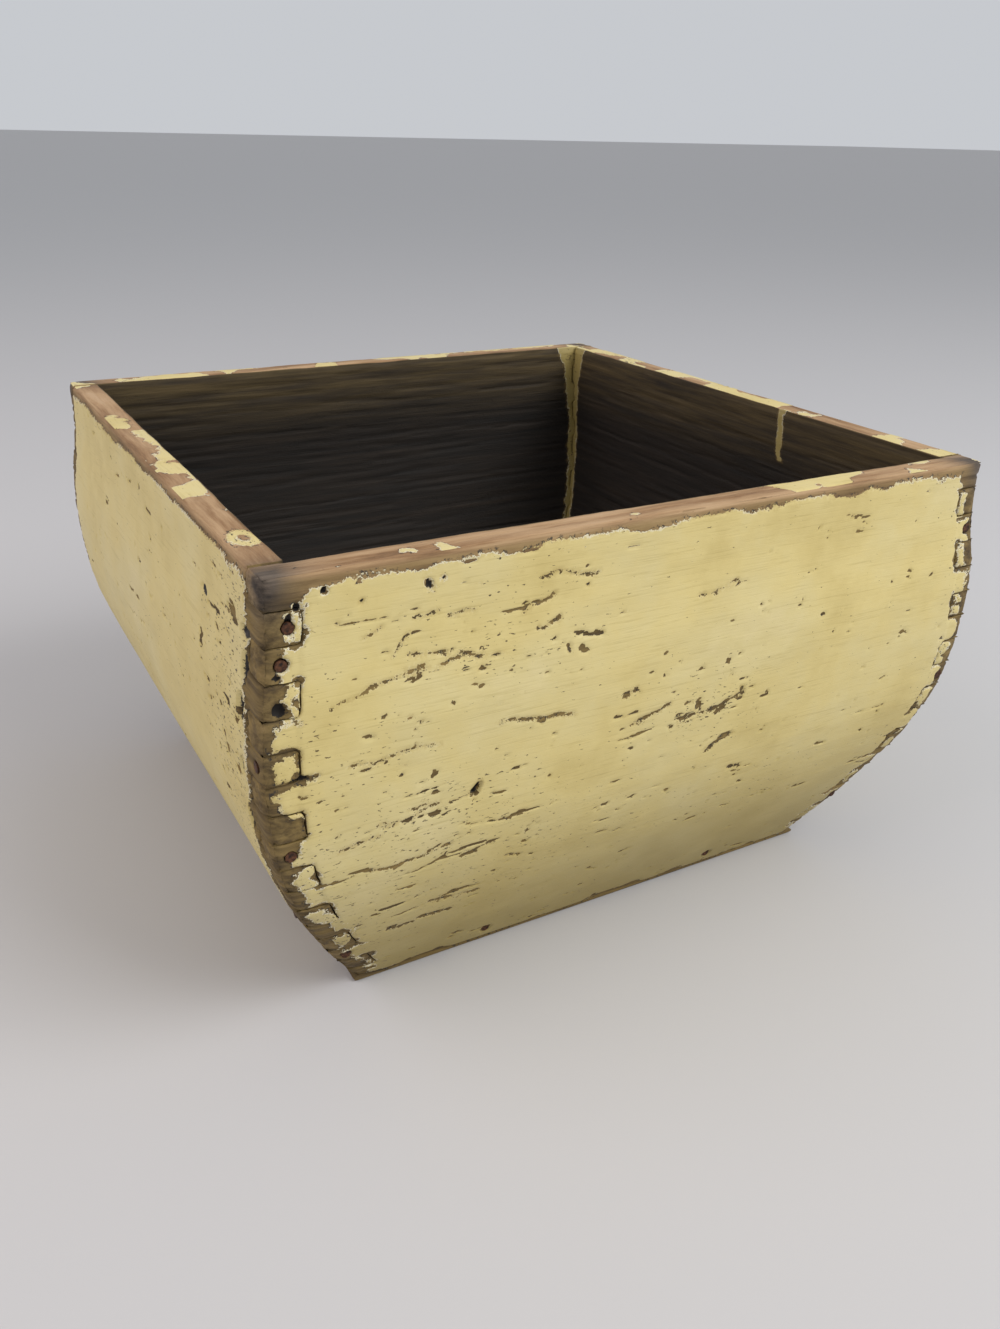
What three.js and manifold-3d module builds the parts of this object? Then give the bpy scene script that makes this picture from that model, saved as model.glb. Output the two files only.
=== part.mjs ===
// Square wooden grain measure with bellied walls, finger-jointed corners and a nailed plank bottom.
// Millimetres, +Z up. The origin is the centre of the underside. The front wall faces -Y, the left wall -X.
import * as THREE from "three";
import { mergeVertices } from "three/addons/utils/BufferGeometryUtils.js";
import Module from "manifold-3d";

// ---- driving dimensions ----
const RIM = 290; // outer width of the square rim
const HEIGHT = 182; // underside to rim
const WALL = 12.6; // thickness of the wall boards
const FIT = 0.3; // clearance between neighbouring pieces
const FINGERS = 17; // corner segments: 9 on the front and back walls, 8 on the side walls between them
const BOTTOM_RAISE = 2.5; // the bottom planks sit this far above the feet of the walls
const BOTTOM_THICK = 12; // thickness of the bottom planks
const PLANK_SPLITS = [-38, 34]; // seams between the three bottom planks, along Y
const RIM_ROUND = 2.4; // worn rounding of the rim edges
const NAIL_SHANK = 1.1; // shank radius
const NAIL_HEAD = 1.9; // head radius
const NAIL_HEAD_THICK = 1.0;
const NAIL_LENGTH = 30;

// Inward offset of the outer faces below the rim, at fractions of the height. Negative is the belly.
const LEVELS = [0, 0.12, 0.26, 0.4, 0.54, 0.68, 0.84, 1];
const LEFT = [0, -1.0, -4.4, -4.7, -1.4, 6.9, 20.4, 36.3];
const FRONT = [0, -0.7, -3.3, -3.0, -0.3, 7.1, 20.5, 36.2];
const RIGHT = LEFT;
const BACK = FRONT;

const wasm = await Module();
wasm.setup();

// ---- joining and cutting ----
function solid(geometry) {
  const g = geometry.clone();
  g.deleteAttribute("normal");
  g.deleteAttribute("uv");
  const m = mergeVertices(g, 1e-4);
  return new wasm.Manifold(
    new wasm.Mesh({
      numProp: 3,
      vertProperties: new Float32Array(m.attributes.position.array),
      triVerts: new Uint32Array(m.index.array),
    }),
  );
}
function geometryOf(body) {
  const m = body.getMesh();
  const v = new Float32Array((m.vertProperties.length / m.numProp) * 3);
  for (let i = 0; i < v.length / 3; i++)
    for (let k = 0; k < 3; k++) v[3 * i + k] = m.vertProperties[m.numProp * i + k];
  const g = new THREE.BufferGeometry();
  g.setAttribute("position", new THREE.BufferAttribute(v, 3));
  g.setIndex(new THREE.BufferAttribute(new Uint32Array(m.triVerts), 1));
  g.computeVertexNormals();
  return g;
}

// ---- the wall curve ----
// A natural-looking curve through the offsets, by a Catmull-Rom segment between levels.
function offsetAt(table, t) {
  const n = LEVELS.length;
  let i = 0;
  while (i < n - 2 && t > LEVELS[i + 1]) i++;
  const h = LEVELS[i + 1] - LEVELS[i];
  const s = Math.min(1, Math.max(0, (t - LEVELS[i]) / h));
  const slope = (k) => {
    if (k === 0) return (table[1] - table[0]) / (LEVELS[1] - LEVELS[0]);
    if (k === n - 1) return (table[n - 1] - table[n - 2]) / (LEVELS[n - 1] - LEVELS[n - 2]);
    return (table[k + 1] - table[k - 1]) / (LEVELS[k + 1] - LEVELS[k - 1]);
  };
  const a = slope(i) * h,
    b = slope(i + 1) * h;
  const s2 = s * s,
    s3 = s2 * s;
  return (
    (2 * s3 - 3 * s2 + 1) * table[i] +
    (s3 - 2 * s2 + s) * a +
    (-2 * s3 + 3 * s2) * table[i + 1] +
    (s3 - s2) * b
  );
}

// The area between two opposite walls, seen along the length of those walls, from z0 to z1,
// moved inwards by inset; round eases the top edge.
function between(lowTable, highTable, inset, z0, z1, round) {
  const rows = [];
  const steps = 18;
  for (let i = 0; i <= steps; i++) {
    const z = z0 + ((z1 - z0) * i) / steps;
    rows.push([z, 0]);
  }
  if (round) {
    rows.pop();
    const top = z1;
    while (rows.length && rows[rows.length - 1][0] > top - round) rows.pop();
    for (let i = 0; i <= 4; i++) {
      const a = ((Math.PI / 2) * i) / 4;
      rows.push([top - round + round * Math.sin(a), round * (1 - Math.cos(a))]);
    }
  }
  const at = (table, z) =>
    offsetAt(table, Math.min(1, Math.max(0, (HEIGHT - z) / HEIGHT)));
  const shape = new THREE.Shape();
  rows.forEach(([z, r], i) => {
    const u = RIM / 2 - at(highTable, z) - inset - r;
    if (i === 0) shape.moveTo(u, z);
    else shape.lineTo(u, z);
  });
  rows
    .slice()
    .reverse()
    .forEach(([z, r]) => shape.lineTo(-(RIM / 2 - at(lowTable, z) - inset - r), z));
  shape.closePath();
  return shape;
}
const SPAN = RIM + 80;
function alongY(shape) {
  const g = new THREE.ExtrudeGeometry(shape, { depth: SPAN, bevelEnabled: false });
  g.rotateX(Math.PI / 2);
  g.translate(0, SPAN / 2, 0);
  return solid(g);
}
function alongX(shape) {
  const g = new THREE.ExtrudeGeometry(shape, { depth: SPAN, bevelEnabled: false });
  g.rotateX(Math.PI / 2);
  g.rotateZ(Math.PI / 2);
  g.translate(-SPAN / 2, 0, 0);
  return solid(g);
}
function block(x0, x1, y0, y1, z0, z1) {
  const g = new THREE.BoxGeometry(x1 - x0, y1 - y0, z1 - z0);
  g.translate((x0 + x1) / 2, (y0 + y1) / 2, (z0 + z1) / 2);
  return solid(g);
}

const outer = alongY(between(LEFT, RIGHT, 0, 0, HEIGHT, RIM_ROUND)).intersect(
  alongX(between(FRONT, BACK, 0, 0, HEIGHT, RIM_ROUND)),
);
const gapX = alongY(between(LEFT, RIGHT, WALL, -5, HEIGHT + 5));
const gapY = alongX(between(FRONT, BACK, WALL, -5, HEIGHT + 5));
const gapXnear = alongY(between(LEFT, RIGHT, WALL + FIT, -5, HEIGHT + 5));
const gapYnear = alongX(between(FRONT, BACK, WALL + FIT, -5, HEIGHT + 5));

// Corner segments from the top down: even indices belong to the front and back walls.
const segment = HEIGHT / FINGERS;
function slabs(first) {
  let all = null;
  for (let i = first; i < FINGERS; i += 2) {
    const top = i === 0 ? HEIGHT + 5 : HEIGHT - i * segment + FIT / 2;
    const low = i === FINGERS - 1 ? -5 : HEIGHT - (i + 1) * segment - FIT / 2;
    const b = block(-SPAN / 2, SPAN / 2, -SPAN / 2, SPAN / 2, low, top);
    all = all ? all.add(b) : b;
  }
  return all;
}
const sideSegments = slabs(1);
const frontSegments = slabs(0);

// ---- nails ----
// Each nail is described by the point where its head lies flush in the face, and the way it is driven.
const nails = [];
function faceX(z, side) {
  const t = (HEIGHT - z) / HEIGHT;
  return side < 0 ? -(RIM / 2 - offsetAt(LEFT, t)) : RIM / 2 - offsetAt(RIGHT, t);
}
function faceY(z, side) {
  const t = (HEIGHT - z) / HEIGHT;
  return side < 0 ? -(RIM / 2 - offsetAt(FRONT, t)) : RIM / 2 - offsetAt(BACK, t);
}
const middle = (i) => HEIGHT - (i + 0.5) * segment;
for (const sy of [-1, 1])
  for (const sx of [-1, 1]) {
    const corner = (sy < 0 ? "front" : "back") + "_" + (sx < 0 ? "left" : "right");
    // driven through the front or back wall's fingers into the side wall
    [2, 8, 14].forEach((seg, k) => {
      const z = middle(seg);
      nails.push({
        name: "nail_" + corner + "_a" + (k + 1),
        at: [faceX(z, sx) - sx * WALL * 0.52, faceY(z, sy), z],
        way: [0, -sy, 0],
      });
    });
    // driven through the side wall's fingers into the front or back wall
    [5, 11].forEach((seg, k) => {
      const z = middle(seg);
      nails.push({
        name: "nail_" + corner + "_b" + (k + 1),
        at: [faceX(z, sx), faceY(z, sy) - sy * WALL * 0.52, z],
        way: [-sx, 0, 0],
      });
    });
  }
// an old repair nail in the top finger end of the near corner
const zRepair = middle(1);
nails.push({
  name: "nail_repair_front_left",
  at: [faceX(zRepair, -1) + WALL * 0.68, faceY(zRepair, -1), zRepair],
  way: [0, 1, 0],
});
// driven through the feet of the walls into the edges of the bottom planks
const zBottom = BOTTOM_RAISE + BOTTOM_THICK / 2;
for (const sy of [-1, 1])
  [-55, 55].forEach((x, k) =>
    nails.push({
      name: "nail_bottom_" + (sy < 0 ? "front" : "back") + "_" + (k + 1),
      at: [x, faceY(zBottom, sy), zBottom],
      way: [0, -sy, 0],
    }),
  );
for (const sx of [-1, 1])
  [-66, 66].forEach((y, k) =>
    nails.push({
      name: "nail_bottom_" + (sx < 0 ? "left" : "right") + "_" + (k + 1),
      at: [faceX(zBottom, sx), y, zBottom],
      way: [-sx, 0, 0],
    }),
  );
const INSET = 1.1; // depth of the head below the face, so that the sloping face never leaves it proud
function nailProfile(grow) {
  const points = [
    [0, -grow],
    [NAIL_HEAD + grow, -grow],
    [NAIL_HEAD + grow, NAIL_HEAD_THICK + grow],
    [NAIL_SHANK + grow, NAIL_HEAD_THICK + 0.9 + grow],
    [NAIL_SHANK + grow, NAIL_LENGTH - 4],
    [0, NAIL_LENGTH + grow],
  ].map((p) => new THREE.Vector2(p[0], p[1]));
  if (grow) {
    points[0].y = -12;
    points[1].y = -12;
  }
  return new THREE.LatheGeometry(points, 10);
}
function placed(g, nail) {
  const q = new THREE.Quaternion().setFromUnitVectors(
    new THREE.Vector3(0, 1, 0),
    new THREE.Vector3(...nail.way),
  );
  const c = g.clone();
  c.applyQuaternion(q);
  c.translate(
    nail.at[0] + nail.way[0] * INSET,
    nail.at[1] + nail.way[1] * INSET,
    nail.at[2] + nail.way[2] * INSET,
  );
  return c;
}
let holes = null;
for (const n of nails) {
  const h = solid(placed(nailProfile(FIT), n));
  holes = holes ? holes.add(h) : h;
}

// ---- walls ----
const half = SPAN / 2;
const ends = outer.subtract(gapY).subtract(
  sideSegments.subtract(gapXnear).intersect(block(-half, half, -half, half, -5, HEIGHT + 5)),
);
const sides = outer.subtract(gapX).subtract(frontSegments.subtract(gapYnear));
const wallFront = ends.intersect(block(-half, half, -half, 0, -5, HEIGHT + 5)).subtract(holes);
const wallBack = ends.intersect(block(-half, half, 0, half, -5, HEIGHT + 5)).subtract(holes);
const wallLeft = sides.intersect(block(-half, 0, -half, half, -5, HEIGHT + 5)).subtract(holes);
const wallRight = sides.intersect(block(0, half, -half, half, -5, HEIGHT + 5)).subtract(holes);

// ---- bottom planks ----
const bed = alongY(between(LEFT, RIGHT, WALL + FIT, -5, HEIGHT + 5))
  .intersect(alongX(between(FRONT, BACK, WALL + FIT, -5, HEIGHT + 5)))
  .intersect(block(-half, half, -half, half, BOTTOM_RAISE, BOTTOM_RAISE + BOTTOM_THICK))
  .subtract(holes);
const plankFront = bed.intersect(block(-half, half, -half, PLANK_SPLITS[0] - FIT / 2, -5, 60));
const plankMiddle = bed.intersect(
  block(-half, half, PLANK_SPLITS[0] + FIT / 2, PLANK_SPLITS[1] - FIT / 2, -5, 60),
);
const plankBack = bed.intersect(block(-half, half, PLANK_SPLITS[1] + FIT / 2, half, -5, 60));

// ---- scene graph ----
const paintedWood = new THREE.MeshStandardMaterial({ color: 0xb9b084, roughness: 0.72, metalness: 0 });
const bareWood = new THREE.MeshStandardMaterial({ color: 0x6b5236, roughness: 0.85, metalness: 0 });
const rustyIron = new THREE.MeshStandardMaterial({ color: 0x4a342a, roughness: 0.8, metalness: 0.6 });

const measure = new THREE.Group();
const walls = new THREE.Group();
const bottom = new THREE.Group();
const fasteners = new THREE.Group();
measure.add(walls, bottom, fasteners);

function part(group, name, geometry, material) {
  const mesh = new THREE.Mesh(geometry, material);
  mesh.name = name;
  group.add(mesh);
}
part(walls, "wall_front", geometryOf(wallFront), paintedWood);
part(walls, "wall_back", geometryOf(wallBack), paintedWood);
part(walls, "wall_left", geometryOf(wallLeft), paintedWood);
part(walls, "wall_right", geometryOf(wallRight), paintedWood);
part(bottom, "bottom_plank_front", geometryOf(plankFront), bareWood);
part(bottom, "bottom_plank_middle", geometryOf(plankMiddle), bareWood);
part(bottom, "bottom_plank_back", geometryOf(plankBack), bareWood);
const nailGeometry = nailProfile(0);
for (const n of nails) {
  const mesh = new THREE.Mesh(nailGeometry, rustyIron);
  mesh.name = n.name;
  mesh.quaternion.setFromUnitVectors(new THREE.Vector3(0, 1, 0), new THREE.Vector3(...n.way));
  mesh.position.set(
    n.at[0] + n.way[0] * INSET,
    n.at[1] + n.way[1] * INSET,
    n.at[2] + n.way[2] * INSET,
  );
  fasteners.add(mesh);
}

export default measure;
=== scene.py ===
import math
import bpy
import numpy as np
from mathutils import Matrix, Vector


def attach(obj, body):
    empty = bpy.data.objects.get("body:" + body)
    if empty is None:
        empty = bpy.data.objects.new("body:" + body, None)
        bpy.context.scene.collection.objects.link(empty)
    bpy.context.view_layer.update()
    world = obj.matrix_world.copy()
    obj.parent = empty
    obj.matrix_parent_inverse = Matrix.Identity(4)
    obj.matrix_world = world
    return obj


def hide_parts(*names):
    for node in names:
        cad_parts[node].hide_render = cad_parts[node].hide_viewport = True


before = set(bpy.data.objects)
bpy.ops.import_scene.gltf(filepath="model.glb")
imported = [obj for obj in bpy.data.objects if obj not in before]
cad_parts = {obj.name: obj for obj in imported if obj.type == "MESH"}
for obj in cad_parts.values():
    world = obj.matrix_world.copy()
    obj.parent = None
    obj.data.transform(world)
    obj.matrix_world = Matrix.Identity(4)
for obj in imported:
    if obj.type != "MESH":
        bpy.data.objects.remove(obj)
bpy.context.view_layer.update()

# ---- the shape's own numbers, in millimetres ----
RIM, H, WALL = 290.0, 182.0, 12.6
LEVELS = np.array([0, .12, .26, .4, .54, .68, .84, 1.0])
SIDE = np.array([0, -1.0, -4.4, -4.7, -1.4, 6.9, 20.4, 36.3])
FRONT = np.array([0, -0.7, -3.3, -3.0, -0.3, 7.1, 20.5, 36.2])


def offset(table, t):
    n = len(LEVELS)
    m = np.zeros(n)
    m[0] = (table[1] - table[0]) / (LEVELS[1] - LEVELS[0])
    m[-1] = (table[-1] - table[-2]) / (LEVELS[-1] - LEVELS[-2])
    m[1:-1] = (table[2:] - table[:-2]) / (LEVELS[2:] - LEVELS[:-2])
    t = np.clip(t, 0, 1)
    i = np.clip(np.searchsorted(LEVELS, t) - 1, 0, n - 2)
    h = LEVELS[i + 1] - LEVELS[i]
    s = (t - LEVELS[i]) / h
    a, b = m[i] * h, m[i + 1] * h
    return ((2 * s**3 - 3 * s**2 + 1) * table[i] + (s**3 - 2 * s**2 + s) * a
            + (-2 * s**3 + 3 * s**2) * table[i + 1] + (s**3 - s**2) * b)


rng = np.random.default_rng(7)
LAT = rng.random((64, 64, 64)).astype(np.float32)


def noise(p, scale, shift=0.0):
    """Smooth value noise in 0..1 at points p (mm), with feature sizes scale (mm) per axis."""
    q = p / np.asarray(scale, float) + shift
    i = np.floor(q).astype(int)
    f = q - i
    f = f * f * (3 - 2 * f)
    out = 0
    for dx in (0, 1):
        for dy in (0, 1):
            for dz in (0, 1):
                w = ((f[:, 0] if dx else 1 - f[:, 0]) * (f[:, 1] if dy else 1 - f[:, 1])
                     * (f[:, 2] if dz else 1 - f[:, 2]))
                out = out + w * LAT[(i[:, 0] + dx) & 63, (i[:, 1] + dy) & 63, (i[:, 2] + dz) & 63]
    return out


def fbm(p, scale, octaves=4, shift=0.0):
    s = np.asarray(scale, float)
    total, amp, norm = 0, 1.0, 0
    for k in range(octaves):
        total = total + amp * noise(p, s, shift + 11.3 * k)
        norm += amp
        amp *= 0.55
        s = s / 2.1
    return total / norm


def smooth(x, a, b):
    t = np.clip((x - a) / (b - a), 0, 1)
    return t * t * (3 - 2 * t)


# ---- materials ----
def node_material(name):
    m = bpy.data.materials.new(name)
    m.use_nodes = True
    nt = m.node_tree
    nt.nodes.clear()
    out = nt.nodes.new("ShaderNodeOutputMaterial")
    sh = nt.nodes.new("ShaderNodeBsdfPrincipled")
    nt.links.new(sh.outputs[0], out.inputs[0])
    return m, nt, sh


def wood_material(name, along):
    m, nt, sh = node_material(name)
    N, L = nt.nodes, nt.links
    tc = N.new("ShaderNodeTexCoord")

    def mapped(scale):
        mp = N.new("ShaderNodeMapping")
        mp.inputs["Scale"].default_value = scale
        L.new(tc.outputs["Object"], mp.inputs[0])
        return mp.outputs[0]

    def tex(vec, scale, detail=6, rough=0.6):
        t = N.new("ShaderNodeTexNoise")
        t.inputs["Scale"].default_value = scale
        t.inputs["Detail"].default_value = detail
        t.inputs["Roughness"].default_value = rough
        L.new(vec, t.inputs["Vector"])
        return t.outputs["Fac"]

    def ramp(fac, stops):
        r = N.new("ShaderNodeValToRGB")
        e = r.color_ramp.elements
        while len(e) < len(stops):
            e.new(0.5)
        for x, (pos, col) in zip(e, stops):
            x.position = pos
            x.color = (*col, 1)
        L.new(fac, r.inputs[0])
        return r.outputs[0]

    def mix(fac, a, b, kind="MIX"):
        x = N.new("ShaderNodeMix")
        x.data_type = "RGBA"
        x.blend_type = kind
        if isinstance(fac, float):
            x.inputs[0].default_value = fac
        else:
            L.new(fac, x.inputs[0])
        L.new(a, x.inputs[6])
        L.new(b, x.inputs[7])
        return x.outputs[2]

    def attribute(name):
        a = N.new("ShaderNodeAttribute")
        a.attribute_name = name
        c = N.new("ShaderNodeSeparateColor")
        L.new(a.outputs["Color"], c.inputs[0])
        return list(c.outputs) + [a.outputs["Alpha"]]

    def math(op, a, b=None, c=None):
        x = N.new("ShaderNodeMath")
        x.operation = op
        for k, v in enumerate((a, b, c)):
            if v is None:
                continue
            if isinstance(v, (int, float)):
                x.inputs[k].default_value = v
            else:
                L.new(v, x.inputs[k])
        return x.outputs[0]

    def step(v, lo, hi):
        x = N.new("ShaderNodeMapRange")
        x.interpolation_type = "SMOOTHSTEP"
        L.new(v, x.inputs[0])
        x.inputs[1].default_value = lo
        x.inputs[2].default_value = hi
        return x.outputs[0]

    wear_and_shade = attribute("wear_and_shade")      # paint field, grey weathering, painted shade inside the box, painted shade in the holes
    tone_and_shade = attribute("tone_and_shade")      # pale rim wood, olive darkening towards the bottom with painted shade inside the box, freckles
    n_a = tex(mapped((1, 1, 1)), 650.0, 3)
    n_b = tex(mapped((1, 1, 1)), 1900.0, 2)
    streak_scale = (60, 900, 1500) if along == "x" else (900, 60, 1500)
    streak = tex(mapped(streak_scale), 1.0, 4, 0.6)
    field = math("MULTIPLY", math("SUBTRACT", wear_and_shade[0], 0.5), 8.0)
    field = math("ADD", field, math("MULTIPLY", math("SUBTRACT", n_a, 0.5), 3.2))
    field = math("ADD", field, math("MULTIPLY", math("SUBTRACT", n_b, 0.5), 1.6))
    paint = step(field, -0.07, 0.07)
    # freckles: fine dark chips scattered in the paint
    fre = tex(mapped((420, 900, 1300) if along == "x" else (900, 420, 1300)), 1.0, 3, 0.55)
    lim = math("SUBTRACT", 0.722, math("MULTIPLY", tone_and_shade[2], 0.105))
    freckle = step(math("SUBTRACT", fre, lim), 0.0, 0.02)
    grain_scale = (14, 150, 260) if along == "x" else (150, 14, 260)
    grain = tex(mapped(grain_scale), 1.0, 9, 0.68)
    brown = ramp(grain, [(0.28, (0.034, 0.019, 0.006)), (0.45, (0.120, 0.076, 0.021)),
                         (0.58, (0.215, 0.142, 0.040)), (0.75, (0.31, 0.205, 0.068))])
    rim_wood = ramp(grain, [(0.28, (0.085, 0.040, 0.016)), (0.42, (0.27, 0.150, 0.065)),
                            (0.56, (0.42, 0.265, 0.135)), (0.75, (0.54, 0.37, 0.22))])
    grey = ramp(grain, [(0.34, (0.012, 0.008, 0.005)), (0.46, (0.055, 0.040, 0.028)),
                        (0.60, (0.125, 0.094, 0.068)), (0.78, (0.24, 0.19, 0.14))])
    wood = mix(tone_and_shade[0], brown, rim_wood)
    wood = mix(wear_and_shade[1], wood, grey)
    shade_black = ramp(grain, [(0.3, (0.004, 0.003, 0.002)), (0.6, (0.014, 0.009, 0.006)), (0.85, (0.035, 0.023, 0.015))])
    patch = tex(mapped((1, 1, 1)), 24.0, 6)
    yellow = ramp(patch, [(0.28, (0.58, 0.455, 0.165)), (0.45, (0.655, 0.53, 0.215)), (0.60, (0.66, 0.55, 0.25)),
                          (0.75, (0.70, 0.59, 0.30))])
    lines = ramp(streak, [(0.30, (0.80, 0.78, 0.70)), (0.45, (1, 1, 1)), (0.66, (1, 1, 1)), (0.76, (1.10, 1.09, 1.10))])
    yellow = mix(0.65, yellow, lines, "MULTIPLY")
    # olive darkening towards the bottom, and painted shade on the paint inside the box
    darkening_olive = N.new("ShaderNodeRGB")
    darkening_olive.outputs[0].default_value = (0.28, 0.205, 0.055, 1)
    yellow = mix(math("MULTIPLY", tone_and_shade[1], 0.82), yellow, darkening_olive.outputs[0])
    stain = N.new("ShaderNodeRGB")
    stain.outputs[0].default_value = (0.43, 0.31, 0.095, 1)
    soft = math("MULTIPLY", math("SUBTRACT", 1.0, step(field, 0.1, 1.7)), step(n_a, 0.40, 0.62))
    yellow = mix(math("MULTIPLY", soft, 0.55), yellow, stain.outputs[0])
    pale = N.new("ShaderNodeRGB")
    pale.outputs[0].default_value = (0.74, 0.70, 0.55, 1)
    coat = N.new("ShaderNodeRGB")
    coat.outputs[0].default_value = (0.012, 0.012, 0.014, 1)
    where = math("MULTIPLY", step(patch, 0.40, 0.52), tone_and_shade[3])
    halo = math("MULTIPLY", math("MULTIPLY", paint, math("SUBTRACT", 1.0, step(field, 0.1, 0.7))), where)
    yellow = mix(math("MULTIPLY", halo, 0.8), yellow, pale.outputs[0])
    yellow = mix(freckle, yellow, mix(0.35, brown, coat.outputs[0]))
    colour = mix(paint, wood, yellow)
    near = math("MULTIPLY", math("MULTIPLY", math("SUBTRACT", 1.0, paint), step(field, -1.1, -0.25)),
                step(n_a, 0.47, 0.60))
    colour = mix(math("MULTIPLY", near, 0.85), colour, coat.outputs[0])
    # painted shade: the inside of the box is mixed toward near-black
    colour = mix(wear_and_shade[2], colour, shade_black)
    # painted shade in the holes and gaps
    hole_shade_mask = step(math("ADD", wear_and_shade[3], math("MULTIPLY", math("SUBTRACT", n_b, 0.5), 0.5)), 0.42, 0.58)
    colour = mix(hole_shade_mask, colour, shade_black)
    L.new(colour, sh.inputs["Base Color"])
    rough = N.new("ShaderNodeMapRange")
    L.new(paint, rough.inputs[0])
    rough.inputs[3].default_value = 0.80
    rough.inputs[4].default_value = 0.50
    L.new(rough.outputs[0], sh.inputs["Roughness"])
    height = math("MULTIPLY", paint, 0.55)
    height = math("SUBTRACT", height, math("MULTIPLY", freckle, 0.4))
    height = math("ADD", height, math("MULTIPLY", streak, 0.35))
    height = math("ADD", height, math("MULTIPLY", math("MULTIPLY", grain, 0.9), math("SUBTRACT", 1.0, paint)))
    bump = N.new("ShaderNodeBump")
    bump.inputs["Strength"].default_value = 0.7
    bump.inputs["Distance"].default_value = 0.0005
    L.new(height, bump.inputs["Height"])
    L.new(bump.outputs[0], sh.inputs["Normal"])
    return m


mat_x = wood_material("painted_wood_x", "x")
mat_y = wood_material("painted_wood_y", "y")

mat_nail, nt, sh = node_material("rusty_iron")
tc = nt.nodes.new("ShaderNodeTexCoord")
tn = nt.nodes.new("ShaderNodeTexNoise")
tn.inputs["Scale"].default_value = 900
tn.inputs["Detail"].default_value = 6
nt.links.new(tc.outputs["Object"], tn.inputs["Vector"])
rp = nt.nodes.new("ShaderNodeValToRGB")
rp.color_ramp.elements[0].position = 0.35
rp.color_ramp.elements[0].color = (0.018, 0.010, 0.007, 1)
rp.color_ramp.elements[1].position = 0.7
rp.color_ramp.elements[1].color = (0.16, 0.065, 0.03, 1)
nt.links.new(tn.outputs["Fac"], rp.inputs[0])
nt.links.new(rp.outputs[0], sh.inputs["Base Color"])
sh.inputs["Metallic"].default_value = 0.55
sh.inputs["Roughness"].default_value = 0.62
bp = nt.nodes.new("ShaderNodeBump")
bp.inputs["Strength"].default_value = 0.5
bp.inputs["Distance"].default_value = 0.0003
nt.links.new(tn.outputs["Fac"], bp.inputs["Height"])
nt.links.new(bp.outputs[0], sh.inputs["Normal"])


# cracks in the front wall, as x, z, x, z, width, and holes as x, z, half sizes, tilt, depth; the holes also get painted
# shade
FRONT_CRACKS = [(-55.3, 167.9, -33.7, 167.0, 1.0), (-118.4, 177.0, -106.8, 177.1, 1.4), (-101.1, 149.1, -89.5, 149.0, 1.1),
                (-103.1, 143.8, -94.2, 144.5, 1.7), (-94.2, 144.5, -81.1, 146.8, 2.0), (-81.2, 145.7, -68.8, 146.9, 1.4),
                (-127.3, 139.1, -104.8, 143.6, 0.8), (-115.6, 117.2, -92.0, 119.0, 0.9), (-70.6, 119.7, -41.9, 118.0, 1.2),
                (-114.9, 158.1, -109.4, 159.8, 0.8), (-106.3, 149.6, -100.7, 155.9, 0.8), (-98.8, 160.9, -90.6, 161.9, 0.9),
                (-87.3, 159.7, -78.8, 160.7, 1.0), (-114.7, 74.9, -104.1, 75.4, 0.9), (-104.1, 75.4, -86.0, 76.5, 1.4),
                (-125.7, 86.6, -112.1, 89.2, 0.9), (-112.2, 92.5, -91.4, 97.9, 1.6), (-80.4, 67.3, -70.4, 70.4, 1.5),
                (-61.9, 60.9, -55.9, 61.0, 1.2), (-88.7, 45.8, -69.6, 44.1, 1.6), (-102.5, 37.1, -78.1, 36.7, 1.8),
                (2.2, 102.9, 31.7, 107.9, 2.2), (18.5, 87.9, 29.5, 90.7, 2.4), (-140.5, 117.8, -132.4, 119.3, 1.5),
                (-122.0, 118.2, -114.9, 118.0, 0.7), (-62.0, 158.5, -50.0, 160.5, 1.4), (-56.0, 151.0, -49.0, 151.8, 2.4),
                (-23.0, 120.0, -17.0, 121.5, 2.6), (-18.0, 108.0, -2.0, 111.0, 1.5), (8.0, 150.0, 24.0, 153.0, 1.1)]
FRONT_HOLES = [(-125.9, 175.4, 0.9, 0.9, 0, 2.0), (-115.1, 170.4, 0.6, 0.6, 0, 1.0), (-139.7, 155.4, 1.9, 1.9, 0.6, 1.6),
               (-141.6, 151.6, 1.2, 1.0, 0, 1.4), (-142.0, 141.6, 2.0, 2.4, 0.5, 2.2), (-78.3, 98.3, 1.3, 2.5, -0.55, 3.0),
               (-136.6, 167.5, 0.9, 3.6, 0.0, 1.2), (-93.5, 172.0, 1.1, 1.9, 0.5, 0.8), (-89.0, 173.2, 0.6, 0.7, 0.3, 0.5), (-137.5, 118.6, 3.6, 0.75, 0.12, 1.6),
               (-134.3, 171.8, 1.2, 1.4, 0, 1.0)]
LEFT_HOLES = [(-130.2, 161.0, 3.2, 2.3, 2.2), (-131.2, 150.6, 2.0, 4.4, 2.2), (-130.0, 137.0, 3.0, 5.4, 2.6),
              (-88.8, 159.2, 3.0, 1.9, 1.2), (-130.6, 118.0, 1.8, 3.4, 1.6), (-131.2, 99.0, 0.9, 3.6, 1.2)]


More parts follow.
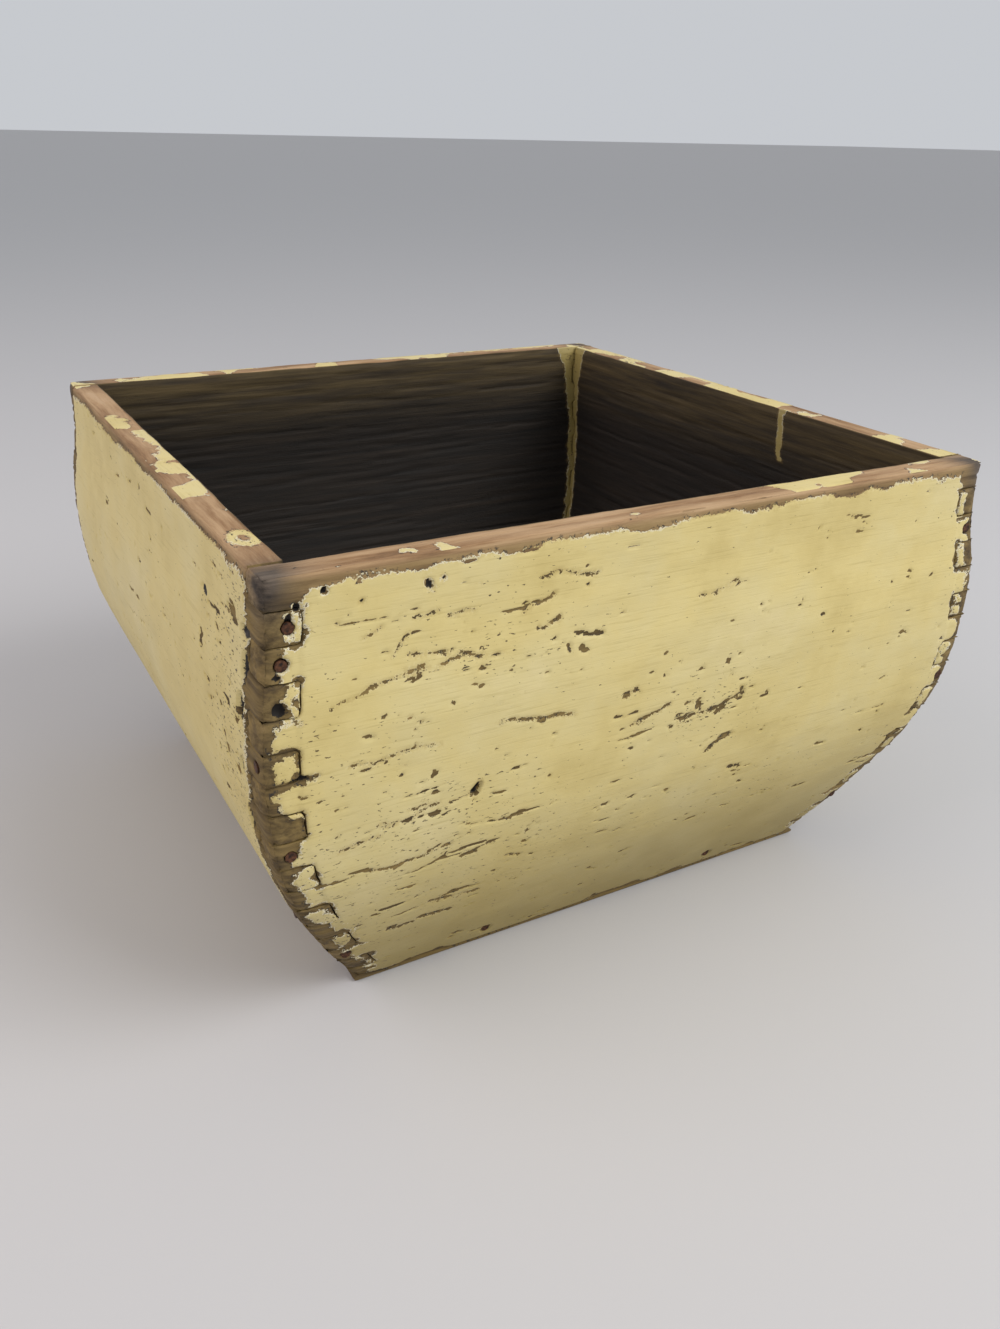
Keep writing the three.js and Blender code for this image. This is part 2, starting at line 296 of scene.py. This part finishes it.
# ---- detailed boards ----
def detailed(node, axis, voxel):
    src = bpy.data.objects[node]
    ob = bpy.data.objects.new(node + "_detail", src.data.copy())
    bpy.context.scene.collection.objects.link(ob)
    ob.matrix_world = src.matrix_world.copy()
    md = ob.modifiers.new("remesh", "REMESH")
    md.mode = "VOXEL"
    md.voxel_size = voxel
    dg = bpy.context.evaluated_depsgraph_get()
    me = bpy.data.meshes.new_from_object(ob.evaluated_get(dg))
    ob.modifiers.clear()
    ob.data = me
    n = len(me.vertices)
    co = np.empty(n * 3)
    me.vertices.foreach_get("co", co)
    co = co.reshape(-1, 3) * 1000.0
    nor = np.empty(n * 3)
    me.vertex_normals.foreach_get("vector", nor)
    nor = nor.reshape(-1, 3)
    x, y, z = co.T
    t = (H - z) / H
    ux = RIM / 2 - offset(SIDE, t) - np.abs(x)
    uy = RIM / 2 - offset(FRONT, t) - np.abs(y)
    deep = np.minimum(ux, uy)
    on_front = uy < ux
    arris = np.maximum(ux, uy)          # distance from the vertical arris along the face
    below = H - z
    seg = np.clip(np.floor(below / (H / 17)), 0, 16).astype(int)
    odd = seg % 2 == 1
    outer = 1 - smooth(deep, 0.5, 1.6)
    top = smooth(nor[:, 2], 0.6, 0.9) * (below < 3.2)
    # painted shade: the inner faces of the box are marked to turn near-black, less so just under the rim
    inner_shade = smooth(deep, WALL * 0.75, WALL * 0.95) * (1 - top)
    inner_shade = np.clip(inner_shade * (0.66 + 0.32 * smooth(below, 3, 40)), 0, 1)
    # the noise space is bent a little, so that cracks wander
    bent = co.copy()
    bent[:, 2] += 5.0 * (noise(co, (17, 17, 30), 70.0) - 0.5) + 2.0 * (noise(co, (6, 6, 12), 75.0) - 0.5)
    ragged = fbm(co, (15, 15, 9), 5, 3.0)
    corner_noise = fbm(co, (7, 7, 5), 4, 14.0)
    long = (20, 9, 2.4) if axis == "x" else (9, 20, 2.4)
    chips = fbm(bent, long, 4, 21.0)
    tiny = fbm(bent, (5.5, 5.5, 2.4), 4, 40.0)
    density = smooth(fbm(co, (70, 70, 30), 3, 33.0), 0.42, 0.62)
    if node == "wall_front":
        blob = (0.75 * np.exp(-((x + 72) / 40) ** 2 - ((z - 148) / 14) ** 2)
                + 0.9 * np.exp(-((x - 20) / 34) ** 2 - ((z - 108) / 18) ** 2)
                + 0.5 * np.exp(-((x + 90) / 30) ** 2 - ((z - 90) / 16) ** 2)
                + 0.5 * np.exp(-((x + 60) / 40) ** 2 - ((z - 58) / 16) ** 2))
        quiet = smooth(z, 60, 110) * smooth(x, 30, 60) * 0.6
        density = np.clip(0.35 * density + blob - quiet, 0, 1)
    elif node == "wall_left":
        density = density * 0.25 + 0.8 * np.exp(-((y + 118) / 22) ** 2)
    f_chip = (0.755 - 0.085 * density - chips) / 0.022 + 0.8 * (noise(co, (1.8, 1.8, 0.9), 57.0) - 0.5)
    f_tiny = (0.775 - 0.085 * density - tiny) / 0.030
    # bare band along the arris: narrow on the front and back, a finger's depth on the sides
    width = np.where(on_front, 5.6 + 9 * (corner_noise - 0.5) + 5.5 * np.exp(-(below / 9.5) ** 4),
                     14.2 + 9 * (corner_noise - 0.5))
    f_edge = arris - width
    # the joint lines round the finger ends: the paint has cracked away along most of them
    lap = np.abs(below - (seg + 0.5) * (H / 17))
    half = H / 34
    crumb = noise(co, (4.5, 4.5, 3.5), 61.0)
    along = arris + 2.6 * (noise(co, (5, 5, 4), 65.0) - 0.5)
    lap = lap + 2.2 * (noise(co, (4, 4, 5), 67.0) - 0.5)
    line = np.where(odd, np.abs(np.minimum(WALL - along, half - lap)),
                    np.hypot(np.maximum(along - WALL, 0), half - lap))
    speck = noise(co, (1.6, 1.6, 1.2), 63.0)
    split = 0.45 + 4.2 * (crumb - 0.5) + 1.5 * (speck - 0.5) + 1.6 * smooth(below, 95, 150) * crumb
    own = LAT[1, 9, (seg * 5 + 2) % 64]
    own_2 = LAT[2, 12, (seg * 3 + (0 if node in ("wall_front", "wall_left") else 20)) % 64]
    f_edge = f_edge - np.where(on_front, 3.2 * np.clip(own_2 - 0.45, 0, 1) * 2, 3.0 * (own - 0.5)) + 1.8 * (speck - 0.5)
    f_edge = np.where((arris < 17) & on_front, np.minimum(f_edge, line - split), f_edge)
    f_rim = below - (3.4 + 9 * np.clip(ragged - 0.42, 0, 1) + 1.6 * (corner_noise - 0.5))
    f_foot = z - (2.2 + 16 * np.clip(ragged - 0.47, 0, 1))
    field = np.minimum.reduce([f_chip, f_tiny, f_edge, f_rim, f_foot])
    wob = noise(co, (3.0, 3.0, 1.4), 51.0)
    frag = noise(co, (1.2, 1.2, 0.8), 53.0)

    def stroke(a, b, c, d, w, field):
        """a crack in the front wall from (a, b) to (c, d), w wide"""
        vx, vz = c - a, d - b
        px, pz = x - a, bent[:, 2] - b
        t = np.clip((px * vx + pz * vz) / (vx * vx + vz * vz), 0, 1)
        dist = np.hypot(px - t * vx, pz - t * vz)
        return np.where(uy < 3, np.minimum(field, dist - w * (-0.30 + 1.25 * wob + 0.5 * (frag - 0.5))), field)

    # painted shade: the holes and gaps are marked to be coloured near-black
    hole_shade = np.zeros(n)
    gouge = np.zeros(n)
    if node in ("wall_front", "wall_left"):
        for k in FRONT_CRACKS:
            field = stroke(*k, field) if node == "wall_front" else field
        for hx, hz, rx, rz, tilt, deepness in FRONT_HOLES:
            c, s_ = math.cos(tilt), math.sin(tilt)
            px, pz = x - hx, z - hz
            r = np.hypot((px * c + pz * s_) / rx, (-px * s_ + pz * c) / rz) + 0.5 * (wob - 0.5)
            hit = (1 - smooth(r, 0.75, 1.15)) * (uy < 5)
            hole_shade = np.maximum(hole_shade, hit)
            gouge = np.maximum(gouge, hit * deepness)
            field = np.where(uy < 5, np.minimum(field, (r - 1.0) * rx), field)
        for hy, hz, ry, rz, deepness in LEFT_HOLES:
            r = np.hypot((y - hy) / ry, (z - hz) / rz) + 0.4 * (wob - 0.5)
            hit = (1 - smooth(r, 0.75, 1.15)) * (ux < 5) * (x < 0)
            hole_shade = np.maximum(hole_shade, hit)
            gouge = np.maximum(gouge, hit * deepness)
    if node == "wall_front":      # a bare finger end low on the near corner
        bare = np.maximum(np.abs(x + 143.5) - 4.6, np.abs(z - 99) - 7.6) + 1.5 * (wob - 0.5)
        field = np.minimum(field, bare)
    if node == "wall_left":
        bare = np.maximum(np.abs(z - 99) - 6.5, arris - 13) + 1.5 * (wob - 0.5)
        field = np.where(on_front, np.minimum(field, bare), field)
    field = np.where(outer > 0.5, field, -6.0)
    # what paint is left on top of the rim
    rim_noise = fbm(co, (26, 26, 8), 4, 77.0)
    lean = {"wall_back": 0.515, "wall_right": 0.525, "wall_front": 0.60, "wall_left": 0.60}.get(node, 9.0)
    f_top = (rim_noise - lean) / 0.018 + 1.5 * (noise(co, (2.6, 2.6, 2.6), 79.0) - 0.5)
    if node == "wall_left":
        f_top = np.maximum(f_top, np.minimum(deep - 9.0 - 14 * (corner_noise - 0.5) - 3 * (ragged - 0.5), 26 - np.abs(y - 12)))
        f_top = np.maximum(f_top, 1.6 - np.abs(np.hypot((y + 108) / 1.6, x + 137) - 3.4))
    field = np.where(top > 0.5, np.maximum(f_top, -6), field)
    # a run of paint down the inner back corner, and a drip on the right wall
    if node in ("wall_back", "wall_right"):
        corner = np.hypot(np.maximum(ux - WALL, 0), np.maximum(uy - WALL, 0))
        run = 3.2 + 8.5 * np.exp(-below / 15) - corner + 4 * (corner_noise - 0.5)
        run = np.where((below < 120) & (x > 0) & (y > 0) & (deep > WALL * 0.8), run, -9)
        drip = 2.2 - 0.03 * below - np.abs(y + 43 - 6 * (ragged - 0.5))
        drip = np.where((below < 25) & (x > 0) & (deep > WALL * 0.8) & (node == "wall_right"), drip, -9)
        run = np.maximum(run, drip)
        field = np.where((deep > WALL * 0.8) & (top < 0.5), np.maximum(run, -6), field)
        inner_shade = inner_shade * (1 - smooth(run, -1.0, 0.0))
    painted = smooth(field, -0.45, 0.45)
    grainy = fbm(co, (45, 1.8, 1.1) if axis == "x" else (1.8, 45, 1.1), 3, 5.0)
    push = 0.05 + 0.42 * (1 - painted) * outer + 0.45 * (1 - painted) * smooth(grainy, 0.50, 0.70)
    round_ = np.exp(-(arris / 3.0) ** 2) * outer * (deep < 3)
    push = push + round_ * (1.2 + 1.3 * corner_noise)
    sunk = LAT[3, 5, (seg * 7 + (3 if node in ("wall_front", "wall_back") else 11)) % 64] * 0.45
    push = push + np.where((arris < 12.4) & (outer > 0.3), sunk, 0) * smooth(below, 4, 9)
    push = push + 0.5 * fbm(co, (45, 45, 25), 2, 90.0) * outer
    push = push + top * (0.2 + 0.9 * fbm(co, (18, 18, 18), 3, 9.0))
    inner_edge = np.exp(-((deep - WALL) / 1.6) ** 2) * (below < 3)
    push = push + 0.8 * inner_edge * ragged
    push = push + gouge
    push = np.where(z < 1.5, 0.05 * (1 - smooth(-nor[:, 2], 0.7, 0.9)), push)
    # the outside wears straight in from the face, so the two boards of a joint stay flush
    wx, wy = np.exp(-ux / 1.5) + 1e-9, np.exp(-uy / 1.5) + 1e-9
    size = np.hypot(wx, wy)
    flat = np.stack([np.sign(x) * wx / size, np.sign(y) * wy / size, np.zeros(n)], axis=1)
    share = (smooth(2.6 - deep, 0.0, 1.2) * (1 - top))[:, None]
    joint = np.maximum(1 - smooth(np.abs(nor[:, 2]), 0.70, 0.88), top)[:, None]
    co = co - (flat * share + nor * (1 - share) * joint) * push[:, None]
    me.vertices.foreach_set("co", (co / 1000.0).ravel())
    greyed = outer * np.exp(-(arris / 9.0) ** 2) * np.exp(-(below / 11.0) ** 2) * 1.3
    greyed = np.clip(greyed + 0.35 * np.exp(-(arris / 9.0) ** 2) * ragged * outer, 0, 1)
    greyed = np.where(top > 0.5, np.clip(1.3 * np.exp(-(arris / 13.0) ** 2), 0, 1), greyed)
    rimmed = np.clip(np.maximum(top, outer * (0.30 + 0.70 * (1 - smooth(below, 0.6, 3.2))) * (1 - smooth(below, 5, 12))), 0, 1) * (1 - 0.7 * np.exp(-(arris / 10) ** 2) * (top < 0.5))
    # olive darkening of the paint, growing towards the bottom of the outside; inside the box it is painted shade
    bottom_darkening_and_inner_shade = np.clip(outer * (0.95 * (1 - smooth(z, 4, 95)) + 0.35 * (ragged - 0.4)), 0, 1)
    bottom_darkening_and_inner_shade = np.where((deep > WALL * 0.8) & (top < 0.5), 0.9, bottom_darkening_and_inner_shade)
    fringe = np.clip(1.4 * np.exp(-(arris / 17.0) ** 4) + np.exp(-(below / 12.0) ** 2), 0.12, 1)
    freckled = np.clip(density + 0.35 * np.exp(-((arris - 14) / 12) ** 2), 0, 1)
    for label, triple in (("wear_and_shade", (np.clip(0.5 + field / 8, 0, 1), greyed, np.clip(inner_shade, 0, 1), np.clip(hole_shade, 0, 1))),
                          ("tone_and_shade", (rimmed, bottom_darkening_and_inner_shade, freckled, fringe))):
        col = me.color_attributes.new(label, "FLOAT_COLOR", "POINT")
        data = np.ones((n, 4), dtype=np.float32)
        for k in range(4):
            data[:, k] = triple[k]
        col.data.foreach_set("color", data.ravel())
    me.materials.clear()
    me.materials.append(mat_x if axis == "x" else mat_y)
    me.polygons.foreach_set("use_smooth", [True] * len(me.polygons))
    me.update()
    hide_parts(node)
    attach(ob, "root")
    return ob


VOX = 0.0009
detailed("wall_front", "x", VOX)
detailed("wall_left", "y", VOX)
detailed("wall_back", "x", 0.0011)
detailed("wall_right", "y", 0.0011)
for plank in ("bottom_plank_front", "bottom_plank_middle", "bottom_plank_back"):
    detailed(plank, "x", 0.0015)
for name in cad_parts:
    if name.startswith("nail"):
        ob = bpy.data.objects[name]
        for s in ob.material_slots:
            s.material = mat_nail
        if not ob.material_slots:
            ob.data.materials.append(mat_nail)

# ---- floor ----
me = bpy.data.meshes.new("floor")
me.from_pydata([(-60, -60, 0), (60, -60, 0), (60, 60, 0), (-60, 60, 0)], [], [(0, 1, 2, 3)])
floor = bpy.data.objects.new("floor", me)
bpy.context.scene.collection.objects.link(floor)
mf, nt, sh = node_material("floor_pale")
sh.inputs["Base Color"].default_value = (0.54, 0.53, 0.53, 1)
sh.inputs["Roughness"].default_value = 0.9
me.materials.append(mf)

# ---- light ----
world = bpy.data.worlds.new("world")
bpy.context.scene.world = world
world.use_nodes = True
world.node_tree.nodes["Background"].inputs[0].default_value = (0.92, 0.95, 1.0, 1)
world.node_tree.nodes["Background"].inputs[1].default_value = 0.62


def area(name, loc, target, size, power, color=(1, 1, 1)):
    d = bpy.data.lights.new(name, "AREA")
    d.size = size
    d.energy = power
    d.color = color
    o = bpy.data.objects.new(name, d)
    o.location = loc
    o.rotation_euler = (Vector(target) - Vector(loc)).to_track_quat("-Z", "Y").to_euler()
    bpy.context.scene.collection.objects.link(o)


area("key", (0.9, -1.3, 1.5), (0, 0, 0.08), 1.2, 29)
area("fill", (-1.4, 0.2, 1.1), (0, 0, 0.1), 1.4, 10, (1.0, 0.86, 0.82))

# ---- camera at the photograph's viewing angle ----
f, az, el, roll = 1105.7, 0.5159, 0.4474, 0.0225
pos = Vector(((-0.273 - 0.5) * 0.29, (-0.9415 - 0.5) * 0.29, 0.182 + 0.3769 * 0.29))
fwd = Vector((math.cos(el) * math.sin(az), math.cos(el) * math.cos(az), -math.sin(el)))
right = fwd.cross(Vector((0, 0, 1))).normalized()
up = right.cross(fwd)
r2 = right * math.cos(roll) + up * math.sin(roll)
u2 = -right * math.sin(roll) + up * math.cos(roll)
cam_data = bpy.data.cameras.new("camera")
cam_data.sensor_fit = "VERTICAL"
cam_data.sensor_height = 36.0
cam_data.lens = f * 36.0 / 1329.0
cam_data.clip_start = 0.01
cam = bpy.data.objects.new("camera", cam_data)
bpy.context.scene.collection.objects.link(cam)
m = Matrix((r2, u2, -fwd)).transposed().to_4x4()
m.translation = pos
cam.matrix_world = m
bpy.context.scene.camera = cam
bpy.context.scene.view_settings.view_transform = "Standard"
